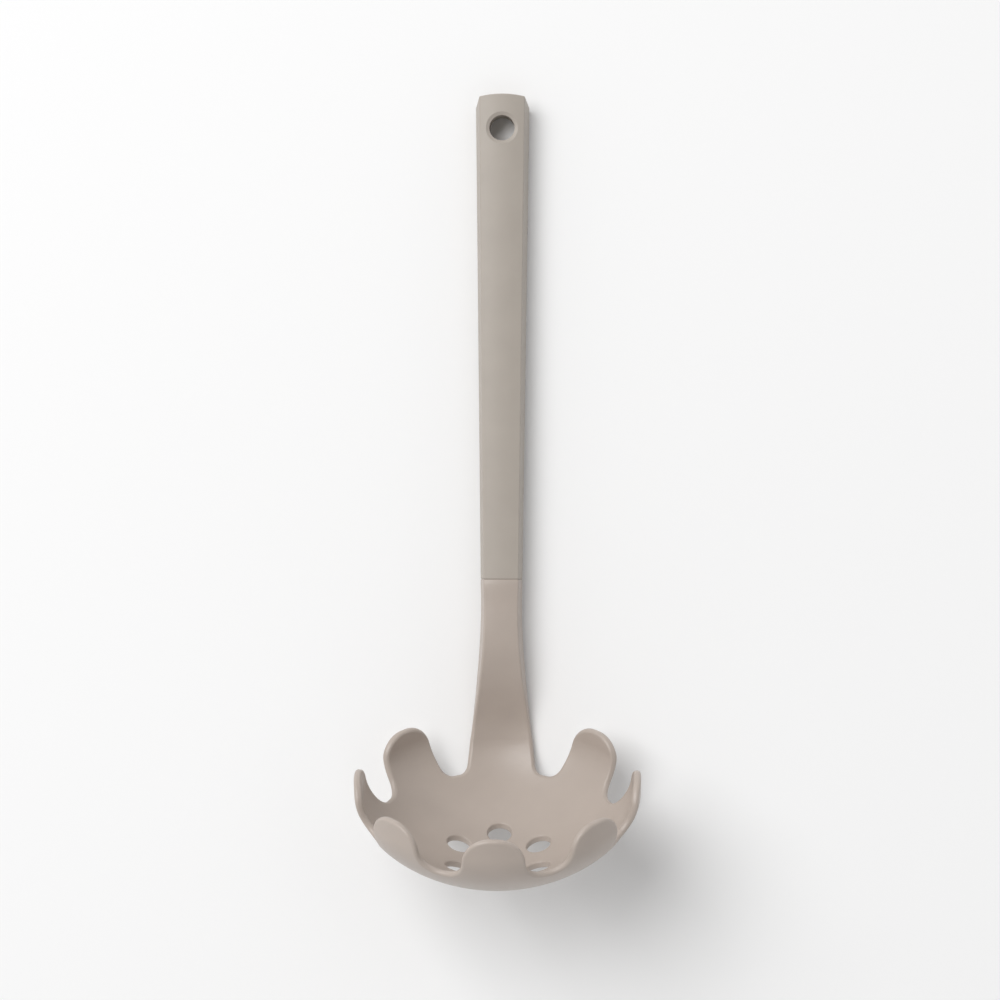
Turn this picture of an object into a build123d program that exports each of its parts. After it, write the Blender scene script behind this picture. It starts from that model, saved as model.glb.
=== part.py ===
"""Pasta server: a straining bowl with seven prongs and a neck, pushed into a long hollow handle.

It lies as on a table, on its bowl and on the end of its handle. Millimetres and degrees, +Z up,
+Y along the handle towards its hanging hole, +X across. The origin is under the middle of the whole.
"""

import os
from math import acos, asin, cos, degrees, radians, sin, sqrt, tan

from build123d import *

# Bowl: turned from a conic, straight above its widest place, with its axis leaning towards the handle.
# The fullness is the conic's weight: sqrt(1 / 2) makes an ellipse, and less of it flatter flanks
bowl_radius = 50.3
bowl_depth = 31.5
bowl_fullness = 0.53
wall = 2.6
bowl_tilt = 66.6

# Crown: the neck and seven prongs stand at even places round the bowl, parted by rounded gaps
places = 8
prong_tip_share = 0.206
prong_root_share = 0.229
prong_corner_share = 0.95
prong_corner_limit_share = 0.55
crown_rise = 6.0
crown_lean = 1.4
gap_depth = 17.7
gap_deepening = 1.9
gap_corner_share = 1.18
rim_rounding = 1.0

# Drain holes: a ring of them round the bottom, drilled along the bowl's axis
drain_holes = 6
drain_ring_radius = 16.4
drain_radius = 4.3
drain_rounding = 0.6

# Neck: leaves the bowl's lowest place level, climbs to the handle and narrows to a waist before it
neck_length = 58.7
neck_flare_share = 0.251
neck_root_share = 0.2286
neck_waist_half_width = 7.42
neck_waist_from_seam = 12.0
neck_taper_power = 1.5
neck_dip_radius = 30.0
neck_belly_radius = 63.0
neck_stations = 8

# Handle: a tapered grip, flush with the neck at the seam
handle_length = 175.9
seam_top = 12.0
end_top = 11.5
seam_thickness = 9.5
end_thickness = 11.5
seam_half_width = 7.55
end_half_width = 9.75
side_draft = 11.0
front_crown_radius = 45.0
back_crown_radius = 120.0
front_edge_radius = 0.6
back_edge_radius = 2.0
seam_edge_radius = 0.35
end_arch_radius = 80.0
end_bevel = 22.0
end_edge_radius = 0.4

# Hanging hole
hang_radius = 4.6
hang_bevel_width = 1.25
hang_bevel_depth = 0.7
hang_from_end = 12.5

# Socket along the inside of the handle, and the tang of the head in its mouth
socket_width = 9.0
socket_height = 4.8
socket_corner_radius = 1.0
socket_draft = 0.1
socket_to_hole = 8.0
tang_length = 45.0
tang_clearance = 0.15
barb_height = 0.5
barb_length = 4.0
barb_width = 2.0
barb_from_seam = 30.0

# Stiffening bar in a slot of the neck and tang, with its far end in a slot of the handle
bar_width = 5.0
bar_height = 2.0
bar_in_neck = 24.0
bar_in_handle_slot = 6.0
bar_clearance = 0.1

overrun = 5.0

# Middle surface of the bowl's wall, in the bowl's own frame: pole at the origin, axis +Z, neck at +Y
middle_radius = bowl_radius - wall / 2
middle_depth = bowl_depth - wall / 2
half_pitch = 360 / places / 2
crown_level = middle_depth + crown_rise
prong_half_width = prong_tip_share * middle_radius
prong_root_half_width = prong_root_share * middle_radius
tip_corner_radius = min(prong_corner_share * prong_half_width, prong_corner_limit_share * gap_depth)
neck_flare_half_width = neck_flare_share * middle_radius
neck_root_half_width = neck_root_share * middle_radius
crown = Plane(
    origin=(0, 0, crown_level),
    x_dir=(1, 0, 0),
    z_dir=(0, sin(radians(crown_lean)), cos(radians(crown_lean))),
)


def profile_place(radius, depth, slope):
    """Distance from the axis, and level above the pole, where a conic of some size climbs at a slope."""
    steepness = tan(radians(slope)) * radius / depth
    root = sqrt((steepness - 1) ** 2 + 4 * bowl_fullness**2 * steepness)
    ratio = (steepness - 1 + root) / 2 / bowl_fullness
    total = 1 + 2 * bowl_fullness * ratio + ratio**2
    return Vector(radius * (1 - 1 / total), depth * ratio**2 / total)


# Place of the wall that lies lowest once the bowl is tilted, where the neck leaves it
axis_rise = cos(radians(bowl_tilt))
axis_run = sin(radians(bowl_tilt))
lowest = profile_place(middle_radius, middle_depth, bowl_tilt)
root_depth = crown_level - middle_radius * tan(radians(crown_lean)) - lowest.Y

# Reach of the tilted bowl's outside, forwards and downwards from its pole, and of the root back from it
foremost = profile_place(bowl_radius, bowl_depth, 90 - bowl_tilt) - Vector(0, wall / 2)
undermost = profile_place(bowl_radius, bowl_depth, bowl_tilt) - Vector(0, wall / 2)
front_reach = foremost.X * axis_rise - foremost.Y * axis_run
low_reach = undermost.X * axis_run - undermost.Y * axis_rise
root_reach = lowest.X * axis_rise + lowest.Y * axis_run

# Places along Y, with the middle of the whole at zero, and the bowl's frame, which touches Z = 0
whole_length = front_reach + root_reach + neck_length + handle_length
pole_place = front_reach - whole_length / 2
root_place = pole_place + root_reach
seam_place = root_place + neck_length
end_place = seam_place + handle_length
hang_place = end_place - hang_from_end
bowl_frame = Plane(origin=(0, pole_place, low_reach), x_dir=(1, 0, 0), z_dir=(0, axis_run, axis_rise))

# Climb of the neck's front face: a dip and a belly, tangent to each other
neck_rise = seam_top - wall
climb_angle = degrees(acos(1 - neck_rise / (neck_dip_radius + neck_belly_radius)))
dip_run = neck_dip_radius * sin(radians(climb_angle))
climb_run = dip_run + neck_belly_radius * sin(radians(climb_angle))
root_crown_radius = lowest.X / axis_run

# Core line: middle of the handle's thickness, which the socket, tang and bar follow
core_drop = (seam_top - seam_thickness / 2) - (end_top - end_thickness / 2)
core_start = Vector(0, seam_place, seam_top - seam_thickness / 2)
core = Plane(origin=core_start, x_dir=(1, 0, 0), z_dir=(0, handle_length, -core_drop))
core_plan = Plane(origin=core_start, x_dir=(1, 0, 0), z_dir=-core.y_dir)
socket_depth = handle_length - hang_from_end - hang_radius - socket_to_hole - bar_in_handle_slot


def wall_radius(level):
    """Distance from the bowl's axis to the middle of its wall, at a level above the pole."""
    height = min(level / middle_depth, 1)
    flatness = 1 - 2 * bowl_fullness**2
    return middle_radius * (height * flatness + sqrt(height * (1 - flatness) * (2 - height * (1 + flatness))))


def conic(radius, depth):
    """Profile of a bowl of some size, from its pole to its widest place."""
    corner = (radius, middle_depth - depth)
    return Bezier((0, middle_depth - depth), corner, (radius, middle_depth), weights=[1, bowl_fullness, 1])


def blend(start, end, share):
    """Value part of the way from one to another."""
    return start + (end - start) * share


def crown_radius(depth, azimuth):
    """Distance from the bowl's axis to the middle of its wall, at a depth below the leaning crown."""
    return wall_radius(crown_level - depth - middle_radius * tan(radians(crown_lean)) * cos(radians(azimuth)))


def gap_side(depth, azimuth, half_width):
    """Distance from the middle of a gap to a neighbour of some half width, at a depth below the crown."""
    radius = crown_radius(depth, azimuth)
    return radius * sin(radians(half_pitch) - asin(half_width / radius))


def gap_sketch(azimuth):
    """Outline of the gap at an azimuth, with the rounded tips beside it, on a plane through the axis."""
    floor = gap_depth + gap_deepening * cos(radians(azimuth))
    onward = -1 if azimuth > 0 else 1
    beside_neck = abs(azimuth) < 2 * half_pitch
    far_side = []
    near_side = []
    for depth in (floor, floor / 2, 0):
        half_width = blend(prong_half_width, prong_root_half_width, depth / floor)
        far_side.append(Vector(onward * gap_side(depth, azimuth, half_width), -depth))
        if beside_neck:
            narrowing = (floor - depth) / (floor - root_depth)
            half_width = blend(neck_flare_half_width, neck_root_half_width, narrowing)
        near_side.append(Vector(-onward * gap_side(depth, azimuth, half_width), -depth))
    tips = [far_side[2]] if beside_neck else [far_side[2], near_side[2]]
    ends = [tip + Vector(prong_half_width * tip.X / abs(tip.X), 0) for tip in tips]
    above = Vector(0, overrun)
    outline = [far_side[2], ends[0], ends[0] + above, near_side[2] + above, near_side[2]]
    if not beside_neck:
        outline[3:] = [ends[1] + above, ends[1], near_side[2]]
    outward = crown.x_dir * sin(radians(azimuth)) + crown.y_dir * cos(radians(azimuth))
    with BuildSketch(Plane(origin=crown.origin, x_dir=crown.z_dir.cross(outward), z_dir=outward)) as sketch:
        with BuildLine():
            ThreePointArc(*far_side)
            Polyline(outline)
            ThreePointArc(*near_side)
            Line(near_side[0], far_side[0])
        make_face()
        floor_width = abs(far_side[0].X - near_side[0].X)
        fillet(sketch.vertices().sort_by(Axis.Y)[:2], gap_corner_share * floor_width / 2)
        fillet([sketch.vertices().sort_by_distance(tip)[0] for tip in tips], tip_corner_radius)
    return sketch.sketch


def grip_section(place, half_width, top, bottom, front_crown, back_crown, front_radius, back_radius):
    """Section of the neck or the handle, across Y, as wide as the outermost places of its rounded edges."""
    front_height = top - front_crown
    back_height = bottom + back_crown
    lean = radians(side_draft)
    back_half_width = half_width + back_radius * (tan(lean) + 1 / cos(lean) - 1)
    front_half_width = back_half_width - (front_height - back_height) * tan(lean)
    with BuildSketch(Plane.XZ.offset(-place)) as section:
        with BuildLine():
            ThreePointArc((-front_half_width, front_height), (0, top), (front_half_width, front_height))
            Line((front_half_width, front_height), (back_half_width, back_height))
            ThreePointArc((back_half_width, back_height), (0, bottom), (-back_half_width, back_height))
            Line((-back_half_width, back_height), (-front_half_width, front_height))
        make_face()
        fillet(section.vertices().sort_by(Axis.Y)[2:], front_radius)
        fillet(section.vertices().sort_by(Axis.Y)[:2], back_radius)
    return section.sketch


def neck_section(run):
    """Section of the neck at a distance from its root."""
    if run < dip_run:
        top = wall + neck_dip_radius - sqrt(neck_dip_radius**2 - run**2)
    else:
        left = max(climb_run - run, 0)
        top = seam_top - neck_belly_radius + sqrt(neck_belly_radius**2 - left**2)
    waist_run = neck_length - neck_waist_from_seam
    if run < waist_run:
        share = (1 - run / waist_run) ** neck_taper_power
        half_width = blend(neck_waist_half_width, neck_root_half_width, share)
    else:
        share = ((run - waist_run) / neck_waist_from_seam) ** 2
        half_width = blend(neck_waist_half_width, seam_half_width, share)
    thickness = blend(wall, seam_thickness, (top - wall) / neck_rise)
    share = run / neck_length
    return grip_section(
        root_place + run,
        half_width,
        top,
        top - thickness,
        half_width**2 / 2 * blend(-1 / root_crown_radius, 1 / front_crown_radius, share),
        half_width**2 / 2 * blend(1 / root_crown_radius, 1 / back_crown_radius, share),
        blend(rim_rounding, front_edge_radius, share),
        blend(rim_rounding, back_edge_radius, share),
    )


def handle_section(run):
    """Section of the handle at a distance from the seam."""
    share = run / handle_length
    top = blend(seam_top, end_top, share)
    half_width = blend(seam_half_width, end_half_width, share)
    return grip_section(
        seam_place + run,
        half_width,
        top,
        top - blend(seam_thickness, end_thickness, share),
        half_width**2 / 2 / front_crown_radius,
        half_width**2 / 2 / back_crown_radius,
        front_edge_radius,
        back_edge_radius,
    )


def core_sketch(plane, width, height, corner):
    """Rounded rectangle about the core line."""
    with BuildSketch(plane) as sketch:
        RectangleRounded(width, height, corner)
    return sketch.sketch


def barb_sketch(clearance):
    """Outline of the barbs on both sides of the tang, in plan, larger all round by a clearance."""
    side = socket_width / 2 - tang_clearance + clearance
    start = barb_from_seam - clearance
    finish = barb_from_seam + barb_length + clearance
    with BuildSketch(core_plan) as sketch:
        with BuildLine():
            Polyline((0, start), (side + barb_height, start), (side, finish), (0, finish), close=True)
        make_face()
        mirror(about=Plane.YZ)
    return sketch.sketch


def is_upright(face):
    """Whether a round face is turned about the upright direction."""
    return face.axis_of_rotation.is_parallel(Axis.Z)


def is_high(edge):
    """Whether an edge of the bowl belongs to its crown, and not to a drain hole."""
    return edge.center().Z > (crown_level - gap_depth) / 2


# Bowl with its crown of prongs, in its own frame. Its profile is turned out of the neck and the holes
root_plane = Plane(origin=(0, lowest.X, lowest.Y), x_dir=(1, 0, 0), z_dir=(0, axis_rise, axis_run))
profile_dir = Vector(0, -1, 0).rotate(Axis.Z, half_pitch)
with BuildPart() as bowl:
    with BuildSketch(Plane(origin=(0, 0, 0), x_dir=profile_dir, z_dir=profile_dir.cross(Vector(0, 0, 1)))):
        with BuildLine():
            outside = conic(bowl_radius, bowl_depth)
            inside = conic(bowl_radius - wall, bowl_depth - wall)
            Line(outside @ 0, inside @ 0)
            above = Vector(0, crown_rise + overrun)
            Polyline(outside @ 1, outside @ 1 + above, inside @ 1 + above, inside @ 1)
        make_face()
    revolve(axis=Axis.Z)
    with BuildSketch():
        with PolarLocations(drain_ring_radius, drain_holes, start_angle=90):
            Circle(drain_radius)
    extrude(amount=middle_depth / 2, both=True, mode=Mode.SUBTRACT)
    drains = bowl.faces().filter_by(GeomType.CYLINDER).filter_by(lambda face: face.radius == drain_radius)
    fillet(drains.edges().filter_by(GeomType.LINE, reverse=True), drain_rounding)
    split(bisect_by=crown, keep=Keep.BOTTOM)
    for index in range(places):
        gap = gap_sketch((2 * index + 1) * half_pitch - 180)
        extrude(gap, amount=bowl_radius + overrun, mode=Mode.SUBTRACT)
    with BuildSketch(root_plane):
        Rectangle(2 * (neck_flare_half_width + overrun), 2 * gap_depth)
    extrude(amount=gap_depth, mode=Mode.SUBTRACT)
    straight_walls = bowl.faces().filter_by(GeomType.CYLINDER).filter_by(is_upright)
    walls = bowl.faces().filter_by(GeomType.REVOLUTION) + straight_walls
    cut_faces = bowl.faces() - walls - bowl.faces().filter_by(root_plane)
    rim = (walls.edges() & cut_faces.edges()).filter_by(is_high)
    fillet(rim, rim_rounding)

# Head: the bowl laid on its lowest place, with the neck out of it and the tang beyond the seam
with BuildPart() as head:
    add(bowl.part.moved(bowl_frame.location))
    root = head.faces().filter_by(Plane.XZ)
    stations = [neck_length * (index + 1) / neck_stations for index in range(neck_stations)]
    loft([root[0]] + [neck_section(run) for run in stations])
    fillet(head.faces().sort_by(Axis.Y)[-1].edges(), seam_edge_radius)
    tang_width = socket_width - 2 * tang_clearance
    tang_height = socket_height - 2 * tang_clearance
    tang_corner_radius = socket_corner_radius - tang_clearance
    extrude(
        core_sketch(core.offset(-overrun), tang_width, tang_height, tang_corner_radius),
        amount=overrun + tang_length,
        taper=socket_draft,
    )
    extrude(barb_sketch(0), amount=barb_width / 2, both=True)
    with BuildSketch(core.offset(-bar_in_neck - bar_clearance)):
        Rectangle(bar_width + 2 * bar_clearance, bar_height + 2 * bar_clearance)
    extrude(amount=bar_in_neck + tang_length + overrun, mode=Mode.SUBTRACT)

# Handle: tapered grip with an arched and bevelled end, the hanging hole, and the socket for the tang
end_plane = Plane(
    origin=(0, end_place, end_top),
    x_dir=(1, 0, 0),
    z_dir=(0, sin(radians(end_bevel)), cos(radians(end_bevel))),
)
with BuildPart() as handle:
    loft([handle_section(0), handle_section(handle_length + overrun)], ruled=True)
    with BuildSketch(end_plane):
        Rectangle(4 * end_half_width, 4 * end_arch_radius, align=(Align.CENTER, Align.CENTER))
        with Locations((0, -end_arch_radius)):
            Circle(end_arch_radius, mode=Mode.SUBTRACT)
    extrude(amount=end_thickness + overrun, both=True, mode=Mode.SUBTRACT)
    fillet(handle.faces().sort_by(Axis.Y)[0].edges(), seam_edge_radius)
    fillet(handle.faces().sort_by(Axis.Y)[-1].edges(), end_edge_radius)
    with Locations((0, hang_place, 0)):
        Hole(hang_radius)
    hang_wall = handle.faces(Select.LAST).filter_by(GeomType.CYLINDER)
    hang_edges = hang_wall.edges().filter_by(GeomType.LINE, reverse=True)
    chamfer(hang_edges, hang_bevel_depth, hang_bevel_width, reference=hang_wall[0])
    extrude(
        core_sketch(core.offset(-overrun), socket_width, socket_height, socket_corner_radius),
        amount=overrun + socket_depth,
        taper=socket_draft,
        mode=Mode.SUBTRACT,
    )
    extrude(
        barb_sketch(tang_clearance),
        amount=barb_width / 2 + tang_clearance,
        both=True,
        mode=Mode.SUBTRACT,
    )
    with BuildSketch(core.offset(socket_depth - overrun)):
        Rectangle(bar_width + 2 * bar_clearance, bar_height + 2 * bar_clearance)
    extrude(amount=overrun + bar_in_handle_slot, mode=Mode.SUBTRACT)

# Stiffening bar
with BuildPart() as stiffening_bar:
    with BuildSketch(core.offset(-bar_in_neck)):
        Rectangle(bar_width, bar_height)
    extrude(amount=bar_in_neck + socket_depth + bar_in_handle_slot - bar_clearance)

os.makedirs("parts", exist_ok=True)

head.part.label = "head"
export_step(head.part, "parts/head.step")

handle.part.label = "handle"
export_step(handle.part, "parts/handle.step")

stiffening_bar.part.label = "stiffening_bar"
export_step(stiffening_bar.part, "parts/stiffening_bar.step")
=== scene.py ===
"""Pasta server: finishes of its plastics, and a plain soft studio around it."""

import bpy
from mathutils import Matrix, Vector

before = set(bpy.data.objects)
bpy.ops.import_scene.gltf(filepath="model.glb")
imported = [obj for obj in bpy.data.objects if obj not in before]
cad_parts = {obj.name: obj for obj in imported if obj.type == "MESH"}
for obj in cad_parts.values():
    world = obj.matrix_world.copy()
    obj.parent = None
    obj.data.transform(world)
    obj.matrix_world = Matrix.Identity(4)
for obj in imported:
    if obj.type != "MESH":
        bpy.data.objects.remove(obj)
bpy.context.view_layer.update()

# Camera: above the middle and a little to the right, turned back by the same little, as in the photograph
PHOTO_SIZE = 1000
FOCAL_PIXELS = 3288
SENSOR = 36.0
CAMERA_PLACE = (0.035, -0.00595, 1.2)
CAMERA_TURN = (0.0, 0.02979, 0.0020)

# Colours, linear
HEAD_COLOUR = (0.408, 0.350, 0.308)
HANDLE_COLOUR = (0.378, 0.338, 0.297)
STEEL_COLOUR = (0.56, 0.55, 0.53)
FLOOR_COLOUR = (0.88, 0.88, 0.88)

# Roughness, and how far it strays in the uneven patches
HEAD_ROUGHNESS = 0.36
HANDLE_ROUGHNESS = 0.46
STEEL_ROUGHNESS = 0.38
STEEL_ROUGHNESS_RANGE = (0.3, 0.5)
FLOOR_ROUGHNESS = 0.9
GLOSS_STRAY = 0.03

# How far the colour of the plastics strays, as a share, and where the noise is cut off
TINT_STRAY_SHARE = 0.025
NOISE_RANGE = (0.3, 0.7)

# Half the side of the table top, metres, and the weight of its reflection
FLOOR_REACH = 3.0
FLOOR_SPECULAR = 0.2

# Large soft box to the upper left: place and side in metres, power in watts
BOX_PLACE = (-1.4, 1.2, 2.6)
BOX_SIDE = 2.2
BOX_POWER = 76.0

# Surroundings: brightness at some heights of the direction, from level to straight up, dark overhead
SURROUNDINGS = {0.35: 0.85, 0.55: 0.4, 0.85: 0.75, 0.95: 0.05}

# Sizes of the grain and the uneven patches in the moulded surfaces, metres, and the heights of the bump
GRAIN = 0.00035
PLASTIC_BUMP = 0.00003
STEEL_BUMP = 0.00001
STEEL_LINE_STRETCH = 0.02
MOTTLE = 0.012
SCUFF = 0.004


def principled(name, colour, roughness):
    """New material with its shader, ready for its own detail."""
    material = bpy.data.materials.new(name)
    material.use_nodes = True
    shader = material.node_tree.nodes["Principled BSDF"]
    shader.inputs["Base Color"].default_value = (*colour, 1.0)
    shader.inputs["Roughness"].default_value = roughness
    return material, shader


def noise(tree, coordinates, size, detail=4.0):
    """Noise whose features are about so many metres across."""
    node = tree.nodes.new("ShaderNodeTexNoise")
    node.inputs["Scale"].default_value = 1.0 / size
    node.inputs["Detail"].default_value = detail
    tree.links.new(coordinates, node.inputs["Vector"])
    return node.outputs["Fac"]


def spread(tree, value, low, high):
    """Noise around the middle, spread over a range."""
    bottom, top = NOISE_RANGE
    node = tree.nodes.new("ShaderNodeMapRange")
    node.inputs["From Min"].default_value = bottom
    node.inputs["From Max"].default_value = top
    node.inputs["To Min"].default_value = low
    node.inputs["To Max"].default_value = high
    tree.links.new(value, node.inputs["Value"])
    return node.outputs["Result"]


def moulded_plastic(name, colour, roughness):
    """Satin moulded plastic: slight mottling, uneven gloss, and the fine grain of a spark-eroded mould."""
    material, shader = principled(name, colour, roughness)
    tree = material.node_tree
    coordinates = tree.nodes.new("ShaderNodeTexCoord").outputs["Object"]

    tint = tree.nodes.new("ShaderNodeValToRGB")
    for stop, share in zip(tint.color_ramp.elements, (1.0 - TINT_STRAY_SHARE, 1.0 + TINT_STRAY_SHARE)):
        stop.color = (*(share * level for level in colour), 1.0)
    tree.links.new(spread(tree, noise(tree, coordinates, MOTTLE), 0.0, 1.0), tint.inputs["Fac"])
    tree.links.new(tint.outputs["Color"], shader.inputs["Base Color"])

    gloss = noise(tree, coordinates, SCUFF)
    uneven = spread(tree, gloss, roughness - GLOSS_STRAY, roughness + GLOSS_STRAY)
    tree.links.new(uneven, shader.inputs["Roughness"])

    grain = noise(tree, coordinates, GRAIN, detail=2.0)
    bump = tree.nodes.new("ShaderNodeBump")
    bump.inputs["Distance"].default_value = PLASTIC_BUMP
    bump.inputs["Strength"].default_value = 1.0
    tree.links.new(grain, bump.inputs["Height"])
    tree.links.new(bump.outputs["Normal"], shader.inputs["Normal"])
    return material


def rolled_steel(name):
    """Flat bar stock: fine lines along its length."""
    material, shader = principled(name, STEEL_COLOUR, STEEL_ROUGHNESS)
    shader.inputs["Metallic"].default_value = 1.0
    tree = material.node_tree
    coordinates = tree.nodes.new("ShaderNodeTexCoord").outputs["Object"]
    stretch = tree.nodes.new("ShaderNodeMapping")
    stretch.inputs["Scale"].default_value = (1.0, STEEL_LINE_STRETCH, 1.0)
    tree.links.new(coordinates, stretch.inputs["Vector"])
    lines = noise(tree, stretch.outputs["Vector"], GRAIN)
    tree.links.new(spread(tree, lines, *STEEL_ROUGHNESS_RANGE), shader.inputs["Roughness"])
    bump = tree.nodes.new("ShaderNodeBump")
    bump.inputs["Distance"].default_value = STEEL_BUMP
    tree.links.new(lines, bump.inputs["Height"])
    tree.links.new(bump.outputs["Normal"], shader.inputs["Normal"])
    return material


def dress(node, material):
    """Give a CAD node its finish."""
    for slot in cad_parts[node].material_slots:
        slot.material = material


dress("head", moulded_plastic("head_plastic", HEAD_COLOUR, HEAD_ROUGHNESS))
dress("handle", moulded_plastic("handle_plastic", HANDLE_COLOUR, HANDLE_ROUGHNESS))
dress("stiffening_bar", rolled_steel("bar_steel"))


def add_camera():
    """Camera with the photograph's view."""
    data = bpy.data.cameras.new("camera")
    data.sensor_width = SENSOR
    data.lens = FOCAL_PIXELS / PHOTO_SIZE * SENSOR
    camera = bpy.data.objects.new("camera", data)
    camera.location = CAMERA_PLACE
    camera.rotation_euler = CAMERA_TURN
    bpy.context.scene.collection.objects.link(camera)
    bpy.context.scene.camera = camera


def add_light(name, place, size, power):
    """Square soft box aimed at the middle of the object."""
    data = bpy.data.lights.new(name, "AREA")
    data.shape = "SQUARE"
    data.size = size
    data.energy = power
    light = bpy.data.objects.new(name, data)
    light.location = place
    light.rotation_euler = (-Vector(place)).to_track_quat("-Z", "Y").to_euler()
    bpy.context.scene.collection.objects.link(light)


def add_floor():
    """Plain pale table top."""
    mesh = bpy.data.meshes.new("floor")
    turns = ((-1, -1), (1, -1), (1, 1), (-1, 1))
    corners = [(x * FLOOR_REACH, y * FLOOR_REACH, 0) for x, y in turns]
    mesh.from_pydata(corners, [], [tuple(range(len(corners)))])
    floor = bpy.data.objects.new("floor", mesh)
    bpy.context.scene.collection.objects.link(floor)
    material, shader = principled("floor", FLOOR_COLOUR, FLOOR_ROUGHNESS)
    shader.inputs["Specular IOR Level"].default_value = FLOOR_SPECULAR
    mesh.materials.append(material)


def add_world():
    """Even pale surroundings, darker overhead."""
    world = bpy.data.worlds.new("world")
    world.use_nodes = True
    tree = world.node_tree
    direction = tree.nodes.new("ShaderNodeTexCoord").outputs["Generated"]
    parts = tree.nodes.new("ShaderNodeSeparateXYZ")
    tree.links.new(direction, parts.inputs["Vector"])
    sky = tree.nodes.new("ShaderNodeValToRGB")
    stops = sky.color_ramp.elements
    while len(stops) < len(SURROUNDINGS):
        stops.new(1.0)
    for stop, (height, level) in zip(stops, SURROUNDINGS.items()):
        stop.position = height
        stop.color = (level, level, level, 1.0)
    tree.links.new(parts.outputs["Z"], sky.inputs["Fac"])
    tree.links.new(sky.outputs["Color"], tree.nodes["Background"].inputs["Color"])
    bpy.context.scene.world = world


add_camera()
add_light("soft_box", BOX_PLACE, BOX_SIDE, BOX_POWER)
add_floor()
add_world()
bpy.context.scene.view_settings.view_transform = "Standard"
